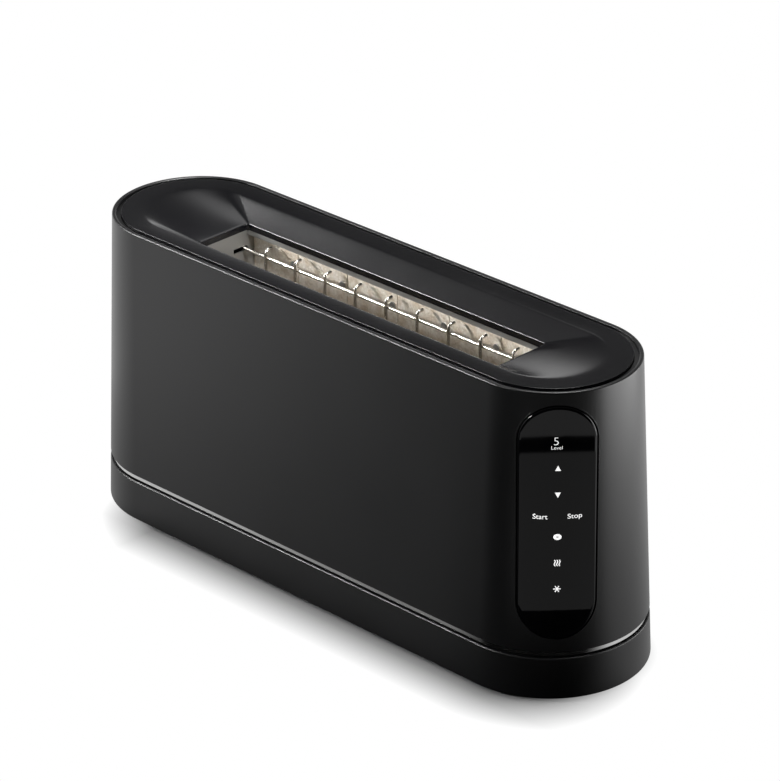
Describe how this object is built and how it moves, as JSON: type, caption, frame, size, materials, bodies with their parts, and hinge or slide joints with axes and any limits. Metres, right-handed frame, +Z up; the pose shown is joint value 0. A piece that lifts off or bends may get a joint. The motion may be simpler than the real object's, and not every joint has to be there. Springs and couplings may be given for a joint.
{
  "type": "long slot toaster",
  "caption": "Household toaster with a tapered round-ended body, a long bread slot with wire guides, a motor lift, a touch panel on its rounded corner and a crumb tray.",
  "frame": {"origin": "on the floor under the middle of the body, level with the bottoms of the feet", "axes": "+X along the body to the end with the touch panel, -Y to the front, +Z up"},
  "size_m": [0.4096, 0.1196, 0.192],
  "materials": {
    "shell_black": "satin powder coat",
    "cover_black": "satin moulded",
    "base_black": "satin moulded",
    "trim_bright": "polished",
    "foot_rubber": "matt",
    "panel_gloss": "polished",
    "dark_plastic": "moulded",
    "pad_foam": "foam",
    "board_green": "solder mask",
    "display_white": "moulded",
    "steel_sheet": "rolled",
    "bright_sheet": "bright rolled",
    "mica_board": "pressed mica",
    "heating_ribbon": "oxidised",
    "plated_steel": "zinc plated",
    "guide_wire": "drawn bright",
    "slider_plastic": "acetal",
    "fuse_ceramic": "ceramic",
    "relay_blue": "moulded",
    "coil_yellow": "taped",
    "capacitor_sleeve": "sleeved"
  },
  "bodies": {
    "housing": {"body_shell": "shell_black", "top_cover": "cover_black", "front_ramp": "cover_black", "rear_ramp": "cover_black", "left_dish": "cover_black", "right_dish": "cover_black", "base": "base_black", "groove_ring": "trim_bright", "feet": "foot_rubber", "cord_gland": "foot_rubber", "touch_panel": "panel_gloss", "panel_carrier": "dark_plastic", "board_holder": "dark_plastic", "limit_switches": "dark_plastic", "gearbox": "dark_plastic", "touch_pads": "pad_foam", "touch_board": "board_green", "power_board": "board_green", "display_module": "display_white", "terminal_block": "display_white", "left_end_plate": "steel_sheet", "right_end_plate": "steel_sheet", "front_top_rail": "steel_sheet", "rear_top_rail": "steel_sheet", "motor_bracket": "steel_sheet", "front_reflector": "bright_sheet", "rear_reflector": "bright_sheet", "front_mica": "mica_board", "rear_mica": "mica_board", "front_element": "heating_ribbon", "rear_element": "heating_ribbon", "mica_rivets": "plated_steel", "base_screws": "plated_steel", "board_screws": "plated_steel", "guide_rods": "plated_steel", "lift_motor": "plated_steel", "thermal_fuse": "fuse_ceramic", "relay": "relay_blue", "transformer": "coil_yellow", "capacitors": "capacitor_sleeve"},
    "carriage": {"bread_rack": "plated_steel", "left_slider": "slider_plastic", "right_slider": "slider_plastic", "gear_rack": "slider_plastic"},
    "pinion": {"pinion": "slider_plastic"},
    "front_guide": {"front_guide": "guide_wire"},
    "rear_guide": {"rear_guide": "guide_wire"},
    "crumb_tray": {"crumb_tray": "bright_sheet", "crumb_tray_front": "base_black"}
  },
  "joints": [
    {"name": "carriage_lift", "type": "slide", "parent": "housing", "child": "carriage", "axis": [0, 0, 1], "range_m": [-0.06, 0.012]},
    {"name": "pinion_spin", "type": "hinge", "parent": "housing", "child": "pinion", "pos_m": [0.15105, 0, 0.095], "axis": [0, 1, 0], "range_deg": [-430, 86.2]},
    {"name": "front_guide_slide", "type": "slide", "parent": "housing", "child": "front_guide", "axis": [0, -1, 0], "range_m": [-0.007, 0.0014]},
    {"name": "rear_guide_slide", "type": "slide", "parent": "housing", "child": "rear_guide", "axis": [0, 1, 0], "range_m": [-0.007, 0.0014]},
    {"name": "crumb_tray_slide", "type": "slide", "parent": "housing", "child": "crumb_tray", "axis": [-1, 0, 0], "range_m": [0, 0.315]}
  ],
  "couplings": [
    {"joint": "pinion_spin", "follows": "carriage_lift", "rad_per_m": 125},
    {"joint": "front_guide_slide", "follows": "carriage_lift", "ratio": 0.11667},
    {"joint": "rear_guide_slide", "follows": "carriage_lift", "ratio": 0.11667}
  ]
}
